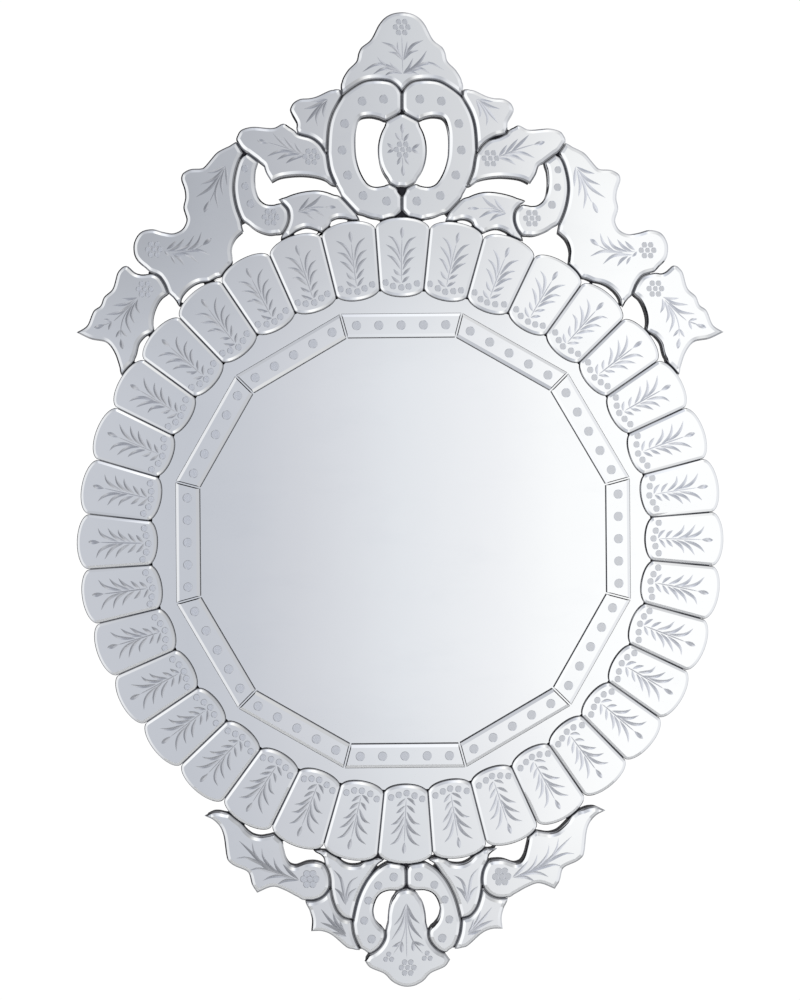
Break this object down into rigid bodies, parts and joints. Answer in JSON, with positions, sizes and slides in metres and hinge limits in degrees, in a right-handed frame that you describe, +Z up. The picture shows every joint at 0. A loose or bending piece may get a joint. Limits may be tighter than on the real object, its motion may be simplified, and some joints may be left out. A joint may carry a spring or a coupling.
{
  "type": "wall mirror",
  "caption": "Tall wall mirror with a round pane inside a bevelled polygonal rim, a ring of engraved rounded tiles, and crown and foot ornaments of cut mirror glass.",
  "frame": {"origin": "middle of the hanging cleat's back face, where the mirror bears on the wall", "axes": "+Z up along the mirror's height, +Y into the wall, so the glass faces -Y"},
  "size_m": [0.6488, 0.0323, 0.9761],
  "materials": {
    "silvered_glass": "clear silvered plate glass, polished",
    "engraved_silvered_glass": "silvered plate glass with polished bevels and satin wheel engraving",
    "black_painted_board": "fibreboard painted satin black",
    "raw_pine": "planed pine, unfinished",
    "zinc_plated_steel": "zinc plated"
  },
  "bodies": {
    "root": {"backing_board": "black_painted_board", "big_scroll_left": "engraved_silvered_glass", "big_scroll_right": "engraved_silvered_glass", "cleat_screw_left": "zinc_plated_steel", "cleat_screw_right": "zinc_plated_steel", "crest": "engraved_silvered_glass", "curled_leaf_left": "engraved_silvered_glass", "curled_leaf_right": "engraved_silvered_glass", "flower_leaf_left": "engraved_silvered_glass", "flower_leaf_right": "engraved_silvered_glass", "foot_wing_left": "engraved_silvered_glass", "foot_wing_right": "engraved_silvered_glass", "great_wing_left": "engraved_silvered_glass", "great_wing_right": "engraved_silvered_glass", "hanging_cleat": "raw_pine", "low_wing_left": "engraved_silvered_glass", "low_wing_right": "engraved_silvered_glass", "oval_medallion": "engraved_silvered_glass", "pendant": "engraved_silvered_glass", "rim_strip_01": "engraved_silvered_glass", "rim_strip_02": "engraved_silvered_glass", "rim_strip_03": "engraved_silvered_glass", "rim_strip_04": "engraved_silvered_glass", "rim_strip_05": "engraved_silvered_glass", "rim_strip_06": "engraved_silvered_glass", "rim_strip_07": "engraved_silvered_glass", "rim_strip_08": "engraved_silvered_glass", "rim_strip_09": "engraved_silvered_glass", "rim_strip_10": "engraved_silvered_glass", "rim_strip_11": "engraved_silvered_glass", "rim_strip_12": "engraved_silvered_glass", "ring_tiles_01": "engraved_silvered_glass", "ring_tiles_02": "engraved_silvered_glass", "ring_tiles_03": "engraved_silvered_glass", "ring_tiles_04": "engraved_silvered_glass", "ring_tiles_05": "engraved_silvered_glass", "ring_tiles_06": "engraved_silvered_glass", "ring_tiles_07": "engraved_silvered_glass", "ring_tiles_08": "engraved_silvered_glass", "ring_tiles_09": "engraved_silvered_glass", "ring_tiles_10": "engraved_silvered_glass", "ring_tiles_11": "engraved_silvered_glass", "ring_tiles_12": "engraved_silvered_glass", "round_pane": "silvered_glass", "shepherd_scroll_left": "engraved_silvered_glass", "shepherd_scroll_right": "engraved_silvered_glass", "side_wing_left": "engraved_silvered_glass", "side_wing_right": "engraved_silvered_glass", "small_leaf_left": "engraved_silvered_glass", "small_leaf_right": "engraved_silvered_glass", "small_scroll_left": "engraved_silvered_glass", "small_scroll_right": "engraved_silvered_glass", "spacer_screw_left": "zinc_plated_steel", "spacer_screw_right": "zinc_plated_steel", "split_leaf_left": "engraved_silvered_glass", "split_leaf_right": "engraved_silvered_glass", "wall_spacer": "raw_pine"}
  },
  "joints": []
}
